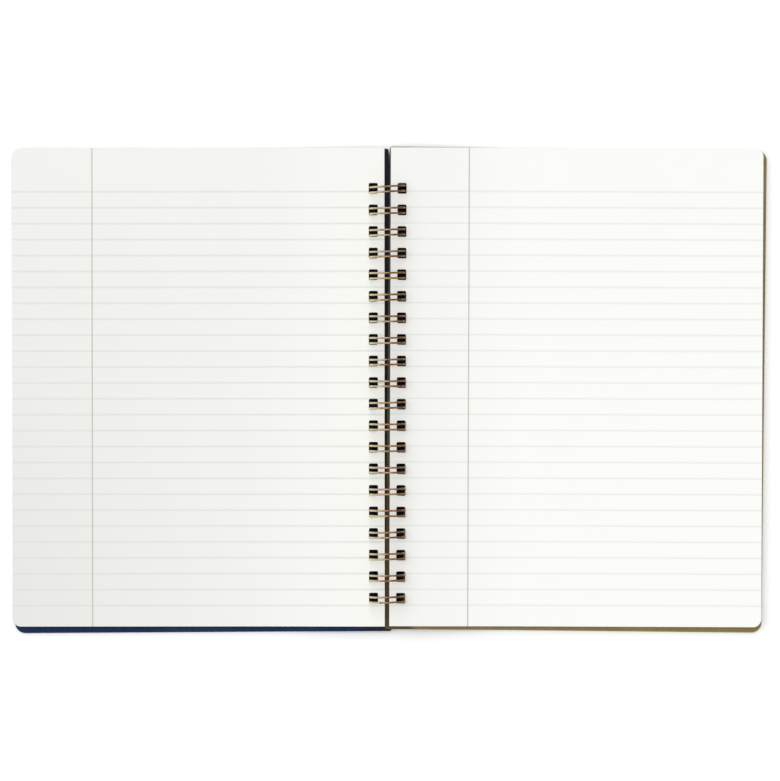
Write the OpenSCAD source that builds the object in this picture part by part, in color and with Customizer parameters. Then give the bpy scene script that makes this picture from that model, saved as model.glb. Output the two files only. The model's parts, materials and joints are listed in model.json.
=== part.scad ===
// Open notebook with a twin-loop wire binding, lying flat on a table.
// X runs across the two pages, Y up the pages, Z away from the table.
// All sizes are millimetres and all angles are degrees.

/* [Pages] */
// Width of one page
page_w = 217.8; // [190:0.1:240]
// Height of one page
page_h = 279.4; // [265:0.1:300]
// Radius of a page's two outer corners
page_corner_r = 4.6; // [2:0.1:12]
// Thickness of the pile of sheets turned over to the left
turned_t = 5.4; // [2:0.1:6]
// Thickness of the pile of sheets still on the right
unturned_t = 5.2; // [2:0.1:5.6]

/* [Covers] */
// Width of one cover
cover_w = 220.4; // [200:0.1:245]
// How far a cover reaches past the pages at the top and at the bottom
cover_overhang = 1.4; // [0.5:0.1:3]
// Thickness of the cover board
cover_t = 1; // [0.6:0.1:1.2]
// Radius of a cover's two outer corners
cover_corner_r = 6; // [2:0.1:14]

/* [Punching] */
// Distance from one hole, and one loop, to the next
loop_pitch = 12.6; // [11.5:0.1:12.8]
// How far the row of holes sits below the middle of the pages
loop_drop = 3.5; // [0:0.1:5]
// Least distance from the end of a page to the middle of its last hole
row_margin = 16; // [14:0.5:30]
// Width of a punched hole, across the spine
hole_w = 5.5; // [5.4:0.1:6.2]
// Height of a punched hole, along the spine
hole_h = 6.5; // [5.8:0.1:7.5]
// Radius of a punched hole's corners
hole_corner_r = 0.9; // [0.3:0.1:2]
// Paper between a sheet's edge and its holes
page_hole_edge = 3.9; // [3:0.1:4.4]
// Board between a cover's edge and its holes
cover_hole_edge = 4.7; // [4.3:0.1:4.9]

/* [Wire binding] */
// Outer diameter of the closed loops
ring_od = 21.2; // [20.6:0.1:23]
// Diameter of the wire
wire_d = 1.1; // [0.8:0.05:1.2]
// Distance between the two wires of one loop
twin_gap = 3; // [2.2:0.05:3.4]
// Bend radius where a loop turns into the wire that links it to the next
link_bend_r = 1.2; // [0.9:0.1:1.8]
// Length of the cut end of the wire past the first and last loop
end_stub = 1.2; // [0.5:0.1:3]
// Where on the ring the loops' closed tips lie, under the back cover
tip_angle = -66; // [-70:1:-62]

/* [How the book lies] */
// Height of the front cover's underside at the spine
front_cover_lift = 2.1; // [1.9:0.1:2.4]
// How far the loops hang below the middle of their holes
loop_sag = 0.45; // [0:0.05:0.7]
// Gap between the two covers where they cross at the spine
cover_gap = 0.4; // [0.35:0.05:0.7]
// Play between the loops and the far side of the holes in the sheets
ring_play = 0.3; // [0.25:0.05:0.9]
// Distance from the spine at which the covers and sheets start to bend down
bend_start = 13; // [12:0.5:20]
// Distance from the spine at which they lie flat on the table
bend_end = 76; // [50:1:100]
// Turn of the front cover about the spine
front_cover_skew = 0.35; // [0:0.05:0.4]
// Turn of the back cover about the spine
back_cover_skew = -0.6; // [-0.6:0.05:0]
// Turn of the sheets on the left about the spine
turned_skew = -0.05; // [-0.2:0.05:0]
// Turn of the sheets on the right about the spine
unturned_skew = -0.2; // [-0.25:0.05:0]
// How far the front cover has slipped down
front_cover_slip = 1.65; // [0:0.05:2]
// How far the back cover has slipped down
back_cover_slip = 0.4; // [0:0.05:2]
// How far the sheets on the left have slipped down
turned_slip = 0.3; // [0:0.05:2]
// How far the sheets on the right have slipped up
unturned_slip = 0.3; // [0:0.05:2]

/* [Hidden] */

LEFT = -1;
RIGHT = 1;
bend_steps = 16;
corner_fn = 64;
hole_fn = 32;
wire_fn = 24;
ring_fn = 96;

ring_r = ring_od / 2;
ring_z = ring_r;
wire_r = wire_d / 2;
loop_r = ring_r - wire_r;
link_angle = 270;
tip_swell = 0.08;
link_slack = 0.04;
link_lap = 0.1;

cover_h = page_h + 2 * cover_overhang;
loop_count = 1 + floor((page_h - 2 * (row_margin + loop_drop)) / loop_pitch);

// Levels of each piece's underside at the spine
back_cover_lift = front_cover_lift + cover_t + cover_gap;
turned_lift = front_cover_lift;
unturned_lift = back_cover_lift;

// How far out the wire reaches at a height, on its outer and inner side
function ring_outside(z) = sqrt(pow(ring_r, 2) - pow(ring_z - z, 2));
function ring_inside(z) = sqrt(pow(ring_r - wire_d, 2) - pow(ring_z - z, 2));

// A cover's holes are centred on the stretch of wire that passes through it
function cover_hole_x(lift) = (ring_inside(lift) + ring_outside(lift + cover_t)) / 2;
page_hole_x = ring_r + ring_play - hole_w / 2;
page_edge_x = page_hole_x - hole_w / 2 - page_hole_edge;
front_cover_hole_x = cover_hole_x(front_cover_lift);
front_cover_edge_x = front_cover_hole_x - hole_w / 2 - cover_hole_edge;
back_cover_hole_x = cover_hole_x(back_cover_lift);
back_cover_edge_x = back_cover_hole_x - hole_w / 2 - cover_hole_edge;

// Height up the page of the middle of each hole, and of the loop that goes through it
function hole_y(i) = ((loop_count - 1) / 2 - i) * loop_pitch - loop_drop;
function loop_y(i) = hole_y(i) - loop_sag;

// Share of the lift that is left at a distance from the spine
function rise(u) = u <= bend_start ? 1
    : u >= bend_end ? 0
    : (1 + cos(180 * (u - bend_start) / (bend_end - bend_start))) / 2;

// The bounding box of one flat outline, which is turned about the spine:
// [side, edge, width, height, corner radius, turn, slip down]
PLATES = [
    [LEFT, front_cover_edge_x, cover_w, cover_h, cover_corner_r, front_cover_skew, front_cover_slip],
    [RIGHT, back_cover_edge_x, cover_w, cover_h, cover_corner_r, back_cover_skew, back_cover_slip],
    [LEFT, page_edge_x, page_w, page_h, page_corner_r, turned_skew, turned_slip],
    [RIGHT, page_edge_x, page_w, page_h, page_corner_r, unturned_skew, -unturned_slip]
];
function turned_x(p, x, y) = x * cos(p[5]) - y * sin(p[5]);
function turned_y(p, x, y) = x * sin(p[5]) + y * cos(p[5]);
function outer_arc_x(p) = p[0] * (p[1] + p[2] - p[4]);
function arc_y(p, end) = end * (p[3] / 2 - p[4]) - p[6];
function edge_y(p, end) = end * p[3] / 2 - p[6];
function reach_x(p) = p[0] * max([for (end = [-1, 1])
    p[0] * turned_x(p, outer_arc_x(p), arc_y(p, end)) + p[4]]);
function reach_y(p, end) = end * max(
    end * turned_y(p, outer_arc_x(p), arc_y(p, end)) + p[4],
    end * turned_y(p, p[0] * p[1], edge_y(p, end)));
box_low = [min([for (p = PLATES) reach_x(p)]), min([for (p = PLATES) reach_y(p, -1)])];
box_high = [max([for (p = PLATES) reach_x(p)]), max([for (p = PLATES) reach_y(p, 1)])];
box_middle = (box_low + box_high) / 2;

// One punched hole with rounded corners
module hole_outline() {
    square([hole_w - 2 * hole_corner_r, hole_h], center = true);
    square([hole_w, hole_h - 2 * hole_corner_r], center = true);
    for (sx = [-1, 1], sy = [-1, 1])
        translate([sx * (hole_w / 2 - hole_corner_r), sy * (hole_h / 2 - hole_corner_r)])
            circle(r = hole_corner_r, $fn = hole_fn);
}

// A leaf seen from above, to the right of the spine, with two rounded corners
module leaf_outline(edge_x, w, h, corner_r) {
    translate([edge_x, -h / 2]) {
        square([w - corner_r, h]);
        translate([0, corner_r])
            square([w, h - 2 * corner_r]);
        for (y = [corner_r, h - corner_r])
            translate([w - corner_r, y])
                circle(r = corner_r, $fn = corner_fn);
    }
}

// The side view of a leaf or pile that is lifted at the spine and bends down to the table
module leaf_profile(side, lift, base_z, thickness, reach) {
    stations = concat([-bend_start],
        [for (i = [0:bend_steps]) bend_start + (bend_end - bend_start) * i / bend_steps],
        [reach]);
    polygon(concat(
        [for (u = stations) [side * u, base_z + lift * rise(u)]],
        [for (i = [len(stations) - 1:-1:0])
            [side * stations[i], base_z + thickness + lift * rise(stations[i])]]));
}

// A cover or a pile of sheets: its side view cut to its outline, and punched
module leaf(p, hole_x, lift, base_z, thickness) {
    side = p[0];
    span = p[3] + page_w / 4;
    intersection() {
        rotate([90, 0, 0])
            linear_extrude(height = span, center = true)
                leaf_profile(side, lift, base_z, thickness, p[1] + p[2] + bend_start);
        rotate([0, 0, p[5]])
            linear_extrude(height = ring_od)
                difference() {
                    translate([0, -p[6]])
                        mirror([side == LEFT ? 1 : 0, 0])
                            leaf_outline(p[1], p[2], p[3], p[4]);
                    for (i = [0:loop_count - 1])
                        translate([side * hole_x, hole_y(i)])
                            hole_outline();
                }
    }
}

// Puts X on the way out of the ring, Y on the way round it and Z down the spine
module on_ring(angle, y) {
    translate([0, y, ring_z])
        rotate([90, 0, 0])
            rotate([0, 0, angle])
                translate([loop_r, 0, 0])
                    children();
}

// A stretch of wire bent in the plane that touches the ring
module wire_bend(bend_r, from, sweep) {
    rotate([0, 90, 0])
        rotate_extrude(start = from, angle = sweep, $fn = ring_fn)
            translate([bend_r, 0])
                circle(d = wire_d, $fn = wire_fn);
}

// One wire of a loop, from its tip round the ring to the link under the spine
module loop_wire(y) {
    translate([0, y, ring_z])
        rotate([90, 0, 0])
            rotate_extrude(start = tip_angle, angle = link_angle - tip_angle, $fn = ring_fn)
                translate([loop_r, 0])
                    circle(d = wire_d, $fn = wire_fn);
}

// The hairpin that joins the two wires of a loop, slightly swollen where it starts
module loop_tip(y) {
    on_ring(tip_angle, y) {
        wire_bend(twin_gap / 2, 180, 180);
        for (way = [-1, 1])
            translate([0, 0, way * twin_gap / 2])
                sphere(d = wire_d + tip_swell, $fn = wire_fn);
    }
}

// The bend out of a loop's wire, towards the top or the bottom of the page
module link_bend(y, way) {
    on_ring(link_angle, y)
        if (way > 0)
            translate([0, 0, -link_bend_r])
                wire_bend(link_bend_r, 90, 90);
        else
            translate([0, 0, link_bend_r])
                wire_bend(link_bend_r, 0, 90);
}

// The straight wire that links two loops, or ends the binding, slightly thinner so that
// it lies inside the bends where it laps them
module link(y, length) {
    on_ring(link_angle, y)
        translate([0, link_bend_r, -link_lap])
            cylinder(d = wire_d - link_slack, h = length + 2 * link_lap, $fn = wire_fn);
}

module front_cover() {
    color("#1e2d55")
        leaf(PLATES[0], front_cover_hole_x, front_cover_lift, 0, cover_t);
}

module back_cover() {
    color("#917a48")
        leaf(PLATES[1], back_cover_hole_x, back_cover_lift, 0, cover_t);
}

module turned_sheets() {
    color("#f2f1ea")
        leaf(PLATES[2], page_hole_x, turned_lift, cover_t, turned_t);
}

module unturned_sheets() {
    color("#f8f7f2")
        leaf(PLATES[3], page_hole_x, unturned_lift, cover_t, unturned_t);
}

// One wire, bent back and forth into twin loops and rolled shut
module wire_binding() {
    bend_y = twin_gap / 2 + link_bend_r;
    color("#a87f45") {
        for (i = [0:loop_count - 1]) {
            loop_tip(loop_y(i));
            for (way = [-1, 1]) {
                loop_wire(loop_y(i) + way * twin_gap / 2);
                link_bend(loop_y(i) + way * twin_gap / 2, way);
            }
            last = i == loop_count - 1;
            link(loop_y(i) - bend_y, last ? end_stub : loop_pitch - 2 * bend_y);
        }
        link(loop_y(0) + bend_y + end_stub, end_stub);
    }
}

translate([-box_middle[0], -box_middle[1], 0]) {
    front_cover();
    back_cover();
    turned_sheets();
    unturned_sheets();
    wire_binding();
}
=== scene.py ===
# An open notebook bound with a twin-loop wire: how each of its pieces looks, in metres.
import json
import math
import random

import bmesh
import bpy
from mathutils import Matrix, Vector
from mathutils.geometry import tessellate_polygon


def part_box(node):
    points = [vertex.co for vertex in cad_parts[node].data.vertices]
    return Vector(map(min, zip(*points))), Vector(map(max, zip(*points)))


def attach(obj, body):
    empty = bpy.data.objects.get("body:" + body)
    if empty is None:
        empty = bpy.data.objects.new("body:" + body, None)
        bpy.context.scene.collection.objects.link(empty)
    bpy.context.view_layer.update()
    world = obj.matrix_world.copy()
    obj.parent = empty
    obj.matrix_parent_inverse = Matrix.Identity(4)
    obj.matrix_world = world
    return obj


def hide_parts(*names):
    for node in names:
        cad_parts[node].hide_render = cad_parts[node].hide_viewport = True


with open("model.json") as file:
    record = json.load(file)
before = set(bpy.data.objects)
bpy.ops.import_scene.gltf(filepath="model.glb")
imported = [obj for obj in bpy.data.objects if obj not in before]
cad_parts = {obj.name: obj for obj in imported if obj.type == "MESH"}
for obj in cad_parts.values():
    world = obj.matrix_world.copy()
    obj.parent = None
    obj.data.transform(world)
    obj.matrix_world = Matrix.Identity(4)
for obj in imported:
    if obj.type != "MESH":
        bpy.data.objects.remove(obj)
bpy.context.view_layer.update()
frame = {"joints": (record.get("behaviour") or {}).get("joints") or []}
MM = 0.001

# The camera looks down from far above and leans a little to the top of the pages, which makes
# them taper as in the photograph. The spine's middle stands where the photograph has it.
PHOTO_W = 780
PHOTO_H = 781
PIXEL = 0.5838 * MM
SPINE_PX = 387.4
SPINE_PY = 387.4
CAMERA_DISTANCE = 3.6
CAMERA_LEAN = math.radians(1.0)
SENSOR = 36.0
SIGHT_END = 20.0
spine = Vector(frame["joints"][0]["pos_m"])
page_top_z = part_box("unturned_sheets")[1].z


def from_photo(px, py):
    """The place across and up the pages of a point of the photograph."""
    return (px - SPINE_PX) * PIXEL, (SPINE_PY - py) * PIXEL


camera_data = bpy.data.cameras.new("camera")
camera = bpy.data.objects.new("camera", camera_data)
bpy.context.scene.collection.objects.link(camera)
middle_x, middle_y = from_photo(PHOTO_W / 2, PHOTO_H / 2)
aim = Vector((spine.x + middle_x, spine.y + middle_y, page_top_z))
camera.location = aim + CAMERA_DISTANCE * Vector((0, math.sin(CAMERA_LEAN), math.cos(CAMERA_LEAN)))
camera.rotation_euler = (-CAMERA_LEAN, 0, 0)
camera_data.sensor_fit = "HORIZONTAL"
camera_data.sensor_width = SENSOR
camera_data.lens = SENSOR * CAMERA_DISTANCE / (PHOTO_W * PIXEL)
camera_data.clip_end = SIGHT_END
bpy.context.scene.camera = camera
bpy.context.scene.view_settings.view_transform = "Standard"


# The two covers are pieces of dyed board with round outer corners. Both are punched along one
# edge with the same die as the sheets, a little further in, and bend up to the loops there.
# Each is a flat leaf with its holes cut, bent by a formula and given its thickness.
LEFT = -1
RIGHT = 1
RING_R = 10.6 * MM
WIRE_D = 1.1 * MM
HOLES = 20
PITCH = 12.6 * MM
ROW_DROP = 3.5 * MM
HOLE_W = 5.5 * MM
HOLE_H = 6.5 * MM
HOLE_CORNER = 0.9 * MM
HOLE_STEPS = 3
BEND_START = 13 * MM
BEND_END = 76 * MM
BEND_STEPS = 28
CORNER_STEPS = 12
INNER_STEPS = 5
COVER_T = 1.0 * MM
COVER_W = 220.38 * MM
COVER_H = 282.2 * MM
COVER_CORNER = 6.0 * MM
COVER_HOLE_EDGE = 4.7 * MM
COVER_EDGE_ROUND = 0.22 * MM
COVER_EDGE_STEPS = 3
COVER_EDGE_ANGLE = math.radians(60)
COVER_INNER_ROUND = 1.3 * MM
FRONT_LIFT = 2.1 * MM
BACK_LIFT = 3.5 * MM
FRONT_TURN = 0.35
FRONT_SLIP = 1.65 * MM
BACK_TURN = -0.6
BACK_SLIP = 0.4 * MM
NAVY = (0.004, 0.020, 0.080)
NAVY_WORN = (0.045, 0.075, 0.160)
OLIVE_GOLD = (0.278, 0.206, 0.074)
OLIVE_WORN = (0.440, 0.370, 0.190)
# The boards' inside is painted dark towards the spine: painted shade of the gap between the piles.
SPINE_GAP_SHADE = (0.012, 0.008, 0.004)
SPINE_GAP_SHADE_TO = 18 * MM
SPINE_GAP_SHADE_FADE = 6 * MM
SPINE_GAP_SHADE_SHARE = 0.65
WORN_ALL_OVER = 0.12
GRAIN_FINE = 2600.0
FLECK_FINE = 900.0
CLOUD_FINE = 22.0
GRAIN_DEPTH = 0.12 * MM
BOARD_GLOSS = 0.13


class Maths:
    """A shader socket with the signs of arithmetic, which each add a Math node."""

    def __init__(self, tree, socket):
        self.tree = tree
        self.socket = socket

    def math(self, operation, *others):
        made = self.tree.nodes.new("ShaderNodeMath")
        made.operation = operation
        for slot, value in zip(made.inputs, (self, *others)):
            if isinstance(value, Maths):
                self.tree.links.new(value.socket, slot)
            else:
                slot.default_value = value
        return Maths(self.tree, made.outputs[0])

    def __add__(self, other):
        return self.math("ADD", other)

    def __sub__(self, other):
        return self.math("SUBTRACT", other)

    def __rsub__(self, other):
        return (self * -1.0) + other

    def __mul__(self, other):
        return self.math("MULTIPLY", other)

    def __truediv__(self, other):
        return self.math("DIVIDE", other)

    __radd__ = __add__
    __rmul__ = __mul__

    def size(self):
        return self.math("ABSOLUTE")

    def within(self):
        """The value held between 0 and 1."""
        return self.math("MINIMUM", 1.0).math("MAXIMUM", 0.0)


class Finish:
    """A material under construction, read over the surface by Object coordinates."""

    def __init__(self, name):
        self.material = bpy.data.materials.new(name)
        self.material.use_nodes = True
        self.tree = self.material.node_tree
        self.shader = self.tree.nodes["Principled BSDF"]
        place = self.tree.nodes.new("ShaderNodeTexCoord")
        self.coords = Maths(self.tree, place.outputs["Object"])
        self.normal = Maths(self.tree, place.outputs["Normal"])

    def node(self, kind, settings=None, output=0, **inputs):
        made = self.tree.nodes.new(kind)
        for key, value in (settings or {}).items():
            setattr(made, key, value)
        for key, value in inputs.items():
            slot = made.inputs[int(key[1:]) if key[1:].isdigit() else key.replace("_", " ")]
            if isinstance(value, Maths):
                self.tree.links.new(value.socket, slot)
            else:
                slot.default_value = value
        return Maths(self.tree, made.outputs[output])

    def noise(self, scale, detail, rough=0.55):
        return self.node("ShaderNodeTexNoise", Vector=self.coords, Scale=scale, Detail=detail,
                         Roughness=rough)

    def mix(self, share, first, second):
        """A colour between two, by a share from 0 to 1."""
        colours = [c if isinstance(c, Maths) else (*c, 1.0) for c in (first, second)]
        return self.node("ShaderNodeMix", {"data_type": "RGBA"}, 2,
                         i0=share, i6=colours[0], i7=colours[1])

    def xyz(self, coords=None):
        made = self.tree.nodes.new("ShaderNodeSeparateXYZ")
        self.tree.links.new((coords or self.coords).socket, made.inputs[0])
        return [Maths(self.tree, out) for out in made.outputs]

    def bump(self, height, strength, distance):
        self.feed("Normal", self.node("ShaderNodeBump", Height=height,
                                      Strength=strength, Distance=distance))

    def feed(self, slot, value):
        if isinstance(value, Maths):
            self.tree.links.new(value.socket, self.shader.inputs[slot])
        elif isinstance(value, tuple):
            self.shader.inputs[slot].default_value = (*value, 1.0)
        else:
            self.shader.inputs[slot].default_value = value


def rise(u):
    """Share of its lift that a leaf still has at a distance from the spine."""
    share = min(max((u - BEND_START) / (BEND_END - BEND_START), 0.0), 1.0)
    return (1 + math.cos(math.pi * share)) / 2


def ring_reach(radius, z):
    return math.sqrt(radius ** 2 - (spine.z - z) ** 2)


def hole_y(i):
    return ((HOLES - 1) / 2 - i) * PITCH - ROW_DROP


def hole_points(x, y):
    """One punched hole with rounded corners, as a ring of points."""
    points = []
    for corner, (sx, sy) in enumerate(((1, 1), (-1, 1), (-1, -1), (1, -1))):
        for step in range(HOLE_STEPS + 1):
            angle = math.pi / 2 * (corner + step / HOLE_STEPS)
            points.append((x + sx * (HOLE_W / 2 - HOLE_CORNER) + HOLE_CORNER * math.cos(angle),
                           y + sy * (HOLE_H / 2 - HOLE_CORNER) + HOLE_CORNER * math.sin(angle)))
    return points


def leaf_mesh(name, side, edge_x, hole_x, width, height, corner, inner, turn, slip, lift, top_z,
              thickness):
    """A punched leaf: its outline turned about the spine, bent up to it and given thickness."""
    bm = bmesh.new()
    low, high = -height / 2 - slip, height / 2 - slip
    turned = Matrix.Rotation(math.radians(turn), 2)

    def vert(u, y):
        across, up = turned @ Vector((side * u, y))
        return bm.verts.new((spine.x + across, spine.y + up, top_z + lift * rise(abs(across))))

    worn = [math.pi / 2 * k / INNER_STEPS for k in range(INNER_STEPS + 1)] if inner else []
    inner_low = [(edge_x + inner * (1 - math.cos(a)), low + inner * (1 - math.sin(a))) for a in worn]
    inner_high = [(u, high + low - y) for u, y in reversed(inner_low)]
    strip = [[(BEND_START, low), (BEND_START, high), *(inner_high or [(edge_x, high)]),
              *(inner_low or [(edge_x, low)])]]
    strip += [hole_points(hole_x, hole_y(i)) for i in range(HOLES)]
    strip_verts = [vert(u, y) for ring in strip for u, y in ring]
    for corners in tessellate_polygon([[Vector((u, y, 0)) / MM for u, y in ring] for ring in strip]):
        bm.faces.new([strip_verts[k] for k in corners])
    near = strip_verts[:2]
    for step in range(1, BEND_STEPS + 1):
        u = BEND_START + (BEND_END - BEND_START) * step / BEND_STEPS
        far = [vert(u, low), vert(u, high)]
        bm.faces.new([near[0], far[0], far[1], near[1]])
        near = far
    outer = edge_x + width - corner
    arcs = []
    for centre_y, start in ((low + corner, -math.pi / 2), (high - corner, 0.0)):
        for step in range(CORNER_STEPS + 1):
            angle = start + math.pi / 2 * step / CORNER_STEPS
            arcs.append(vert(outer + corner * math.cos(angle), centre_y + corner * math.sin(angle)))
    bm.faces.new([near[0], *arcs, near[1]])
    bmesh.ops.recalc_face_normals(bm, faces=bm.faces)
    if sum(face.normal.z for face in bm.faces) < 0:
        bmesh.ops.reverse_faces(bm, faces=bm.faces)
    upper = list(bm.faces)
    under = {v: bm.verts.new(v.co - Vector((0, 0, thickness))) for v in list(bm.verts)}
    rim = [(e.link_loops[0].vert, e.link_loops[0].link_loop_next.vert) for e in bm.edges if e.is_boundary]
    for face in upper:
        bm.faces.new([under[v] for v in reversed(face.verts)])
    for first, second in rim:
        bm.faces.new([second, first, under[first], under[second]])
    for face in bm.faces:
        face.smooth = len(face.verts) == 4
    mesh = bpy.data.meshes.new(name)
    bm.to_mesh(mesh)
    bm.free()
    return mesh


def show(name, mesh, body, slot, *nodes):
    """Puts a finished mesh in the scene, in place of the solids that it stands for."""
    piece = bpy.data.objects.new(name, mesh)
    bpy.context.scene.collection.objects.link(piece)
    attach(piece, body)
    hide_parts(*nodes)
    return piece


def settled(maker):
    """The plain mesh that an object's modifiers make, and the object itself removed."""
    bpy.context.view_layer.update()
    graph = bpy.context.evaluated_depsgraph_get()
    mesh = bpy.data.meshes.new_from_object(maker.evaluated_get(graph))
    bpy.data.objects.remove(maker)
    return mesh


def board_finish(name, colour, worn):
    """Dyed board with a fine pebbled grain, rubbed lighter along its edges, and painted dark on
    its inside by the loops, a painted shade of the gap between the piles."""
    board = Finish(name)
    grain = board.noise(GRAIN_FINE, 4.0)
    cloud = board.noise(CLOUD_FINE, 2.0)
    fleck = board.noise(FLECK_FINE, 2.0)
    up = board.xyz(board.normal)[2]
    from_spine = (board.xyz()[0] - spine.x).size()
    edge = ((1.0 - up.size()) * 1.6).within()
    share = (edge * 0.5 + (fleck - 0.5) * 0.7 + (cloud - 0.5) * 0.9 + WORN_ALL_OVER).within()
    dyed = board.mix(share, colour, worn)
    # Painted shade: the inside faces darken towards the spine, where the gap between the piles lies in
    # shadow.
    inside = (up * 4.0).within() * ((SPINE_GAP_SHADE_TO - from_spine) / SPINE_GAP_SHADE_FADE).within()
    board.feed("Base Color", board.mix(inside * SPINE_GAP_SHADE_SHARE, dyed, SPINE_GAP_SHADE))
    board.feed("Roughness", 0.36 + grain * 0.2 + cloud * 0.2)
    board.feed("Specular IOR Level", BOARD_GLOSS)
    board.bump(grain * 0.7 + fleck * 0.5, 0.35, GRAIN_DEPTH)
    return board.material


def cover_mesh(name, side, lift, turn, slip, material):
    hole_x = (ring_reach(RING_R - WIRE_D, lift) + ring_reach(RING_R, lift + COVER_T)) / 2
    edge_x = hole_x - HOLE_W / 2 - COVER_HOLE_EDGE
    flat = leaf_mesh(name, side, edge_x, hole_x, COVER_W, COVER_H, COVER_CORNER,
                     COVER_INNER_ROUND, turn, slip, lift, COVER_T, COVER_T)
    flat.materials.append(material)
    maker = bpy.data.objects.new(name, flat)
    bpy.context.scene.collection.objects.link(maker)
    bevel = maker.modifiers.new("worn edge", "BEVEL")
    bevel.width = COVER_EDGE_ROUND
    bevel.segments = COVER_EDGE_STEPS
    bevel.limit_method = "ANGLE"
    bevel.angle_limit = COVER_EDGE_ANGLE
    bevel.harden_normals = True
    return settled(maker)


navy_board = board_finish("navy_board", NAVY, NAVY_WORN)
kraft_board = board_finish("olive_gold_board", OLIVE_GOLD, OLIVE_WORN)
show("front_board", cover_mesh("front_board", LEFT, FRONT_LIFT, FRONT_TURN, FRONT_SLIP, navy_board),
     "front_half", "navy_board", "front_cover")
show("back_board", cover_mesh("back_board", RIGHT, BACK_LIFT, BACK_TURN, BACK_SLIP, kraft_board),
     "back_half", "kraft_board", "back_cover")


# The sheets are ruled on both sides and punched, and lie in two piles: those turned over to the
# left and those still on the right. Each pile is one sheet repeated, every copy slipped and
# turned a hair on its loops. The printed lines and the margin line run over the edge of the paper.
PAGE_W = 217.25 * MM
PAGE_H = 279.4 * MM
PAGE_CORNER = 4.6 * MM
PAGE_HOLE_EDGE = 3.65 * MM
RING_PLAY = 0.3 * MM
SHEET_T = 0.082 * MM
SHEET_STEP = 0.1 * MM
SHEET_SLIP = 0.16 * MM
SHEET_TURN = 0.0006
TURNED_PILE = 5.4 * MM
TURNED_TURN = 0.05
TURNED_SLIP = 0.0
TURNED_SEED = 7
UNTURNED_PILE = 5.2 * MM
UNTURNED_TURN = -0.2
UNTURNED_SLIP = -0.3 * MM
UNTURNED_SEED = 19
RULES = 27
FIRST_RULE_Y = from_photo(0, 191.6)[1]
RULE_PITCH = 15.93 * PIXEL
RULE_HALF = 0.5 * MM
RULE_ENDS_SHARP = 50.0
TURNED_MARGIN_X = from_photo(92.0, 0)[0]
UNTURNED_MARGIN_X = from_photo(468.55, 0)[0]
MARGIN_HALF = 0.32 * MM
LINE_SOFT = 0.25 * MM
SHADE_FROM = 60 * MM
GUTTER_FROM = 14 * MM
GUTTER_TO = 60 * MM
HOLE_FROM = 3 * MM
HOLE_TO = 12 * MM
CREASE = math.radians(40)
# The turned sheets are painted greyer than the unturned ones, though both are one paper: painted shade.
LEFT_PAPER = (0.900, 0.902, 0.870)
RIGHT_PAPER = (0.960, 0.962, 0.935)
RULE_INK = (0.700, 0.735, 0.700)
MARGIN_INK = (0.480, 0.460, 0.430)
# The walls of the punched holes are painted near black: painted shade in the holes.
HOLE_WALL_SHADE = (0.030, 0.024, 0.018)
EDGE_SHADE = 0.14
EDGE_PLAIN = 3.0
EDGE_UP = 0.7
MARGIN_SHARE = 0.9
MOTTLED = 0.975
FIBRE_FINE = 1800.0
FIBRE_DEPTH = 0.05 * MM
PAPER_ROUGH = 0.82
PAPER_GLOSS = 0.25


def paper_finish(name, tint, shade, gutter, turn, slip, margin_x, rule_share):
    """Uncoated paper with faint fibres, printed rules and one margin line. Its lower outer part and its
    part by the loops are painted darker, painted shade, each by a share, or painted lighter, painted
    light, where the share is below 0."""
    paper = Finish(name)
    place = paper.node("ShaderNodeMapping", {"vector_type": "TEXTURE"}, i0=paper.coords,
                       Location=(spine.x, spine.y - slip, 0.0), Rotation=(0.0, 0.0, math.radians(turn)))
    x, y = paper.xyz(place)[:2]
    up = paper.xyz(paper.normal)[2].size()
    row = (FIRST_RULE_Y - y) / RULE_PITCH
    gap = ((row + 0.5).math("FRACT") - 0.5).size() * RULE_PITCH
    on_page = (((row + 0.5) * RULE_ENDS_SHARP).within()
               * ((RULES - 0.5 - row) * RULE_ENDS_SHARP).within())
    ruled = ((RULE_HALF + LINE_SOFT - gap) / (2 * LINE_SOFT)).within() * on_page
    margin = ((MARGIN_HALF + LINE_SOFT - (x - margin_x).size()) / (2 * LINE_SOFT)).within()
    printed = ((up - 0.5) * 4.0).within()
    patchy = 0.82 + paper.noise(60.0, 3.0) * 0.36
    fibre = paper.noise(FIBRE_FINE, 5.0, 0.65)
    mottle = paper.noise(35.0, 2.0)
    # Painted shade: darker towards the lower outer corner, by the shade share.
    lower_outer_shade = ((x.size() - SHADE_FROM) / PAGE_W).within() * (0.6 - y / PAGE_H).within()
    even = paper.mix((mottle * 0.9 + fibre * 0.35 - 0.25).within(),
                     tuple(MOTTLED * c for c in tint), tint)
    shaded = paper.mix(lower_outer_shade, even, tuple((1 - shade) * c for c in tint))
    # Painted shade by the loops where the gutter share is above 0, painted light where it is below 0.
    inward = ((GUTTER_TO - x.size()) / (GUTTER_TO - GUTTER_FROM)).within()
    bare = paper.mix(inward, shaded, tuple((1 - gutter) * c for c in tint))
    with_rules = paper.mix(ruled * printed * patchy * rule_share, bare, RULE_INK)
    with_margin = paper.mix(margin * printed * patchy * MARGIN_SHARE, with_rules, MARGIN_INK)
    # Painted shade: the upright walls of the holes are painted near black.
    by_holes = ((x.size() - HOLE_FROM) / MM).within() * ((HOLE_TO - x.size()) / MM).within()
    inside = ((PAGE_H / 2 - y.size()) / MM - EDGE_PLAIN).within()
    upright = ((EDGE_UP - up) * 4.0).within()
    with_edge = paper.mix(upright * EDGE_SHADE, with_margin, (0.0, 0.0, 0.0))
    paper.feed("Base Color", paper.mix(upright * by_holes * inside, with_edge, HOLE_WALL_SHADE))
    paper.feed("Roughness", PAPER_ROUGH)
    paper.feed("Specular IOR Level", PAPER_GLOSS)
    paper.bump(fibre, 0.12, FIBRE_DEPTH)
    return paper.material


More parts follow.
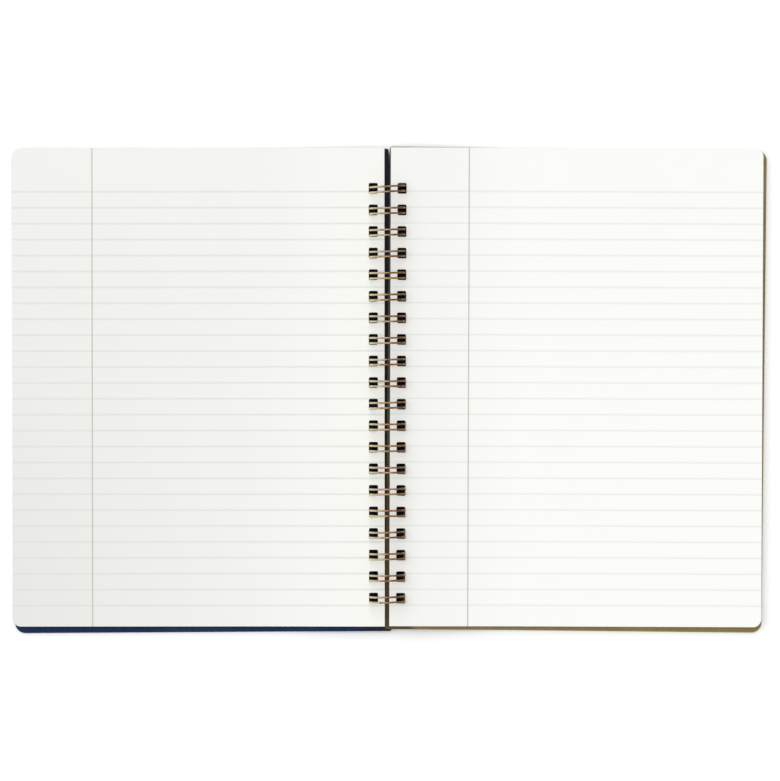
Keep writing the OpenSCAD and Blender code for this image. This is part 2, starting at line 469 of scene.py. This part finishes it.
def pile_nodes():
    """Repeats one sheet upwards. All but the top one are slipped and turned by chance."""
    tree = bpy.data.node_groups.new("sheet_pile", "GeometryNodeTree")
    for label, kind in (("Sheet", "NodeSocketObject"), ("Count", "NodeSocketInt"),
                        ("Step", "NodeSocketFloat"), ("Slip", "NodeSocketFloat"),
                        ("Turn", "NodeSocketFloat"), ("Seed", "NodeSocketInt"),
                        ("Material", "NodeSocketMaterial")):
        tree.interface.new_socket(label, in_out="INPUT", socket_type=kind)
    tree.interface.new_socket("Pile", in_out="OUTPUT", socket_type="NodeSocketGeometry")
    new, link = tree.nodes.new, tree.links.new
    given = new("NodeGroupInput").outputs
    upright = new("ShaderNodeCombineXYZ")
    link(given["Step"], upright.inputs["Z"])
    row = new("GeometryNodeMeshLine")
    link(given["Count"], row.inputs["Count"])
    link(upright.outputs[0], row.inputs["Offset"])
    sheet = new("GeometryNodeObjectInfo")
    link(given["Sheet"], sheet.inputs["Object"])
    last = new("ShaderNodeMath")
    last.operation = "SUBTRACT"
    link(given["Count"], last.inputs[0])
    last.inputs[1].default_value = 1.5
    below_top = new("ShaderNodeMath")
    below_top.operation = "LESS_THAN"
    link(new("GeometryNodeInputIndex").outputs[0], below_top.inputs[0])
    link(last.outputs[0], below_top.inputs[1])

    def by_chance(amount, direction, seed_step):
        chance = new("FunctionNodeRandomValue")
        chance.data_type = "FLOAT_VECTOR"
        chance.inputs["Min"].default_value = [-d for d in direction]
        chance.inputs["Max"].default_value = direction
        seed = new("ShaderNodeMath")
        link(given["Seed"], seed.inputs[0])
        seed.inputs[1].default_value = seed_step
        link(seed.outputs[0], chance.inputs["Seed"])
        share = new("ShaderNodeMath")
        share.operation = "MULTIPLY"
        link(amount, share.inputs[0])
        link(below_top.outputs[0], share.inputs[1])
        scaled = new("ShaderNodeVectorMath")
        scaled.operation = "SCALE"
        link(chance.outputs["Value"], scaled.inputs[0])
        link(share.outputs[0], scaled.inputs["Scale"])
        return scaled.outputs[0]

    copies = new("GeometryNodeInstanceOnPoints")
    link(row.outputs[0], copies.inputs["Points"])
    link(sheet.outputs["Geometry"], copies.inputs["Instance"])
    link(by_chance(given["Turn"], (0.0, 0.0, 1.0), 1), copies.inputs["Rotation"])
    slipped = new("GeometryNodeTranslateInstances")
    link(copies.outputs[0], slipped.inputs["Instances"])
    link(by_chance(given["Slip"], (1.0, 1.0, 0.0), 2), slipped.inputs["Translation"])
    real = new("GeometryNodeRealizeInstances")
    link(slipped.outputs[0], real.inputs[0])
    dressed = new("GeometryNodeSetMaterial")
    link(real.outputs[0], dressed.inputs["Geometry"])
    link(given["Material"], dressed.inputs["Material"])
    link(dressed.outputs[0], new("NodeGroupOutput").inputs[0])
    return tree


def set_inputs(modifier, **values):
    """Sets a Geometry Nodes modifier's inputs by the names that its tree gives them."""
    for item in modifier.node_group.interface.items_tree:
        if item.in_out == "INPUT" and item.name in values:
            modifier[item.identifier] = values[item.name]


def pile_mesh(name, side, lift, height, turn, slip, seed, material):
    hole_x = RING_R + RING_PLAY - HOLE_W / 2
    edge_x = hole_x - HOLE_W / 2 - PAGE_HOLE_EDGE
    count = round(height / SHEET_STEP)
    flat = leaf_mesh(name, side, edge_x, hole_x, PAGE_W, PAGE_H, PAGE_CORNER, 0.0, turn, slip,
                     lift, COVER_T + SHEET_STEP, SHEET_T)
    flat.set_sharp_from_angle(angle=CREASE)
    sheet = bpy.data.objects.new(name + "_sheet", flat)
    bpy.context.scene.collection.objects.link(sheet)
    maker = bpy.data.objects.new(name, bpy.data.meshes.new(name))
    bpy.context.scene.collection.objects.link(maker)
    pile = maker.modifiers.new("pile", "NODES")
    pile.node_group = sheet_pile
    set_inputs(pile, Sheet=sheet, Count=count, Step=SHEET_STEP, Slip=SHEET_SLIP,
               Turn=SHEET_TURN, Seed=seed, Material=material)
    mesh = settled(maker)
    bpy.data.objects.remove(sheet)
    return mesh


sheet_pile = pile_nodes()
turned_paper = paper_finish("turned_paper", LEFT_PAPER, 0.16, -0.025, TURNED_TURN, TURNED_SLIP,
                            TURNED_MARGIN_X, 0.66)
unturned_paper = paper_finish("unturned_paper", RIGHT_PAPER, 0.0, 0.055, UNTURNED_TURN,
                              UNTURNED_SLIP, UNTURNED_MARGIN_X, 0.42)
show("left_pile", pile_mesh("left_pile", LEFT, FRONT_LIFT, TURNED_PILE, TURNED_TURN, TURNED_SLIP,
                            TURNED_SEED, turned_paper),
     "front_half", "turned_paper", "turned_sheets")
show("right_pile", pile_mesh("right_pile", RIGHT, BACK_LIFT, UNTURNED_PILE, UNTURNED_TURN,
                             UNTURNED_SLIP, UNTURNED_SEED, unturned_paper),
     "back_half", "unturned_paper", "unturned_sheets")


# The binding is one brass-coloured wire, bent back and forth into twin loops that are threaded
# through the holes and rolled shut. Its closed tips lie under the back cover. No two loops stand
# quite alike. The path is worked out point by point, and a tree sweeps the wire along it.
TWIN_GAP = 3.0 * MM
TWIN_GAP_SPREAD = 0.12 * MM
LOOP_SAG = 0.5 * MM
LINK_BEND = 1.2 * MM
END_STUB = 1.2 * MM
TIP_ANGLE = -66
LINK_ANGLE = 270
RING_STEPS = 56
BEND_POINTS = 6
WIRE_SIDES = 14
LOOP_SLANT = 0.32 * MM
TOP_LOOP_SLANT = 0.55 * MM
WIRE_SEED = 5
BRASS = (0.370, 0.200, 0.078)
BRASS_DARK = (0.130, 0.062, 0.026)
BRASS_TAN = (0.480, 0.355, 0.215)
# The loops' left ends are painted cream: a painted highlight.
BRASS_PAINTED_HIGHLIGHT = (0.760, 0.670, 0.450)
PAINTED_LIGHT_FROM = 3.5 * MM
PAINTED_LIGHT_TO = 10 * MM
PATCH_FINE = 420.0
RUBBED_FINE = 160.0
SCRATCH_FINE = 5200.0
SCRATCH_DEPTH = 0.03 * MM
loop_r = RING_R - WIRE_D / 2


def on_loop(angle, y, slant):
    """A point of the loop, with the slant that moves its right side up the page."""
    across = loop_r * math.cos(math.radians(angle))
    return Vector((across, y + slant * across / loop_r, loop_r * math.sin(math.radians(angle))))


def wire_path():
    chance = random.Random(WIRE_SEED)
    floor_z = -loop_r
    first_y = hole_y(0) - LOOP_SAG
    points = [Vector((LINK_BEND, first_y + TWIN_GAP / 2 + LINK_BEND + END_STUB, floor_z))]
    for i in range(HOLES):
        y = hole_y(i) - LOOP_SAG
        slant = TOP_LOOP_SLANT if i == 0 else chance.uniform(0.1, 1.0) * LOOP_SLANT
        half = (TWIN_GAP + chance.uniform(-1.0, 1.0) * TWIN_GAP_SPREAD) / 2
        quarter = [math.pi / 2 * k / BEND_POINTS for k in range(BEND_POINTS + 1)]
        for a in reversed(quarter):
            points.append(Vector((LINK_BEND * math.sin(a),
                                  y + half + LINK_BEND * (1 - math.cos(a)), floor_z)))
        sweep = [LINK_ANGLE + (TIP_ANGLE - LINK_ANGLE) * k / RING_STEPS for k in range(1, RING_STEPS)]
        points += [on_loop(a, y + half, slant) for a in sweep]
        tip = math.radians(TIP_ANGLE)
        outward = Vector((math.sin(tip), 0, -math.cos(tip)))
        for k in range(2 * BEND_POINTS + 1):
            a = math.pi * k / (2 * BEND_POINTS)
            points.append(on_loop(TIP_ANGLE, y + half * math.cos(a), slant)
                          + outward * half * math.sin(a))
        points += [on_loop(a, y - half, slant) for a in reversed(sweep)]
        for a in quarter:
            points.append(Vector((LINK_BEND * math.sin(a),
                                  y - half - LINK_BEND * (1 - math.cos(a)), floor_z)))
    points.append(points[-1] - Vector((0, END_STUB, 0)))
    return [spine + point for point in points]


def wire_nodes():
    """Sweeps a round wire along a curve."""
    tree = bpy.data.node_groups.new("drawn_wire", "GeometryNodeTree")
    for label, kind in (("Path", "NodeSocketObject"), ("Radius", "NodeSocketFloat"),
                        ("Sides", "NodeSocketInt"), ("Material", "NodeSocketMaterial")):
        tree.interface.new_socket(label, in_out="INPUT", socket_type=kind)
    tree.interface.new_socket("Wire", in_out="OUTPUT", socket_type="NodeSocketGeometry")
    new, link = tree.nodes.new, tree.links.new
    given = new("NodeGroupInput").outputs
    path = new("GeometryNodeObjectInfo")
    link(given["Path"], path.inputs["Object"])
    section = new("GeometryNodeCurvePrimitiveCircle")
    link(given["Sides"], section.inputs["Resolution"])
    link(given["Radius"], section.inputs["Radius"])
    swept = new("GeometryNodeCurveToMesh")
    swept.inputs["Fill Caps"].default_value = True
    link(path.outputs["Geometry"], swept.inputs["Curve"])
    link(section.outputs[0], swept.inputs["Profile Curve"])
    smooth = new("GeometryNodeSetShadeSmooth")
    link(swept.outputs[0], smooth.inputs["Geometry"])
    real = new("GeometryNodeRealizeInstances")
    link(smooth.outputs[0], real.inputs[0])
    dressed = new("GeometryNodeSetMaterial")
    link(real.outputs[0], dressed.inputs["Geometry"])
    link(given["Material"], dressed.inputs["Material"])
    link(dressed.outputs[0], new("NodeGroupOutput").inputs[0])
    return tree


def brass_finish():
    """Antiqued brass: dark in patches, rubbed tan in others, with fine drawn scratches. The tan is
    also painted towards the loops' left side, painted light, and their left ends are painted cream, a
    painted highlight.
    """
    brass = Finish("antique_brass")
    patch = brass.noise(PATCH_FINE, 3.0)
    rubbed = brass.noise(RUBBED_FINE, 2.0)
    scratch = brass.noise(SCRATCH_FINE, 2.0)
    x = brass.xyz()[0] - spine.x
    worn = brass.mix(((patch - 0.42) * 3.0).within(), BRASS_DARK, BRASS)
    # The tan is rubbed wear in patches, and is also painted stronger towards the loops' left side:
    # painted light.
    tan = brass.mix(((rubbed - 0.40) * 3.0 - x / PAINTED_LIGHT_TO).within() * 0.7, worn, BRASS_TAN)
    # Painted highlight: the loops' left ends turn cream.
    painted_highlight = ((-1.0 * x - PAINTED_LIGHT_FROM) / (PAINTED_LIGHT_TO - PAINTED_LIGHT_FROM) + (patch - 0.5)).within()
    brass.feed("Base Color", brass.mix(painted_highlight, tan, BRASS_PAINTED_HIGHLIGHT))
    brass.feed("Metallic", 1.0)
    brass.feed("Roughness", 0.22 + patch * 0.16)
    brass.bump(scratch, 0.10, SCRATCH_DEPTH)
    return brass.material


curve = bpy.data.curves.new("wire_path", "CURVE")
curve.dimensions = "3D"
route = wire_path()
spline = curve.splines.new("POLY")
spline.points.add(len(route) - 1)
for point, place in zip(spline.points, route):
    point.co = (*place, 1.0)
path_object = bpy.data.objects.new("wire_path", curve)
bpy.context.scene.collection.objects.link(path_object)
wire_maker = bpy.data.objects.new("twin_loops", bpy.data.meshes.new("twin_loops"))
bpy.context.scene.collection.objects.link(wire_maker)
drawing = wire_maker.modifiers.new("wire", "NODES")
drawing.node_group = wire_nodes()
set_inputs(drawing, Path=path_object, Radius=WIRE_D / 2, Sides=WIRE_SIDES, Material=brass_finish())
wire_mesh = settled(wire_maker)
bpy.data.objects.remove(path_object)
show("twin_loops", wire_mesh, "back_half", "brass_wire", "wire_binding")


# The table is a plain white sheet that keeps the notebook's soft shadow, glows a little where it is
# seen, and is painted dark, a painted shade, where almost no sky reaches it, as under the holes. The
# light is an even room with soft daylight from the upper left, and the background shows as white.
TABLE_HALF = 3.0
TABLE_GAP = 0.02 * MM
TABLE_WHITE = 0.9
TABLE_GLOW = 0.07
TABLE_ROUGH = 0.9
PAINTED_TABLE_SHADE = (0.020, 0.016, 0.012)
COVERED_REACH = 30 * MM
COVERED_SKY = 0.28
COVERED_CONTRAST = 7.0
COVERED_SAMPLES = 16
ROOM_LEVEL = 0.5
DAYLIGHT = 1.88
DAYLIGHT_SPREAD = math.radians(80)
DAYLIGHT_HEIGHT = math.radians(60)
DAYLIGHT_FROM = math.radians(135)


def rays_that_see(tree):
    """1 for rays from the camera and for those that metal or glass sends on, 0 for light."""
    ray = tree.nodes.new("ShaderNodeLightPath")
    camera, glossy, through = (Maths(tree, ray.outputs[name]) for name in
                               ("Is Camera Ray", "Is Glossy Ray", "Is Transmission Ray"))
    return camera.math("MAXIMUM", glossy).math("MAXIMUM", through)


table_mesh = bpy.data.meshes.new("table")
table_mesh.from_pydata([(x * TABLE_HALF, y * TABLE_HALF, -TABLE_GAP)
                        for x, y in ((-1, -1), (1, -1), (1, 1), (-1, 1))], [], [(0, 1, 2, 3)])
table_finish = Finish("table")
table_finish.feed("Roughness", TABLE_ROUGH)
table_finish.feed("Specular IOR Level", 0.0)
seen = rays_that_see(table_finish.tree)
open_sky = table_finish.node("ShaderNodeAmbientOcclusion", {"samples": COVERED_SAMPLES}, 1,
                             Distance=COVERED_REACH)
# Painted shade: the table's colour turns near black where little sky reaches it.
table_shade = ((COVERED_SKY - open_sky) * COVERED_CONTRAST).within()
lit = table_finish.mix(seen, (TABLE_WHITE,) * 3, (1.0, 1.0, 1.0))
table_finish.feed("Base Color", table_finish.mix(table_shade, lit, PAINTED_TABLE_SHADE))
table_finish.feed("Emission Color", table_finish.mix(seen * (1.0 - table_shade), (0.0,) * 3, (1.0,) * 3))
table_finish.feed("Emission Strength", TABLE_GLOW)
table_mesh.materials.append(table_finish.material)
table = bpy.data.objects.new("table", table_mesh)
bpy.context.scene.collection.objects.link(table)

world = bpy.data.worlds.new("room")
world.use_nodes = True
bpy.context.scene.world = world
room = world.node_tree
room.nodes["Background"].inputs["Color"].default_value = (1.0, 1.0, 1.0, 1.0)
strength = rays_that_see(room) * (1.0 - ROOM_LEVEL) + ROOM_LEVEL
room.links.new(strength.socket, room.nodes["Background"].inputs["Strength"])

daylight_data = bpy.data.lights.new("daylight", "SUN")
daylight_data.energy = DAYLIGHT
daylight_data.angle = DAYLIGHT_SPREAD
daylight = bpy.data.objects.new("daylight", daylight_data)
bpy.context.scene.collection.objects.link(daylight)
level = math.cos(DAYLIGHT_HEIGHT)
source = Vector((level * math.cos(DAYLIGHT_FROM), level * math.sin(DAYLIGHT_FROM),
                 math.sin(DAYLIGHT_HEIGHT)))
daylight.location = source
daylight.rotation_euler = source.to_track_quat("Z", "Y").to_euler()
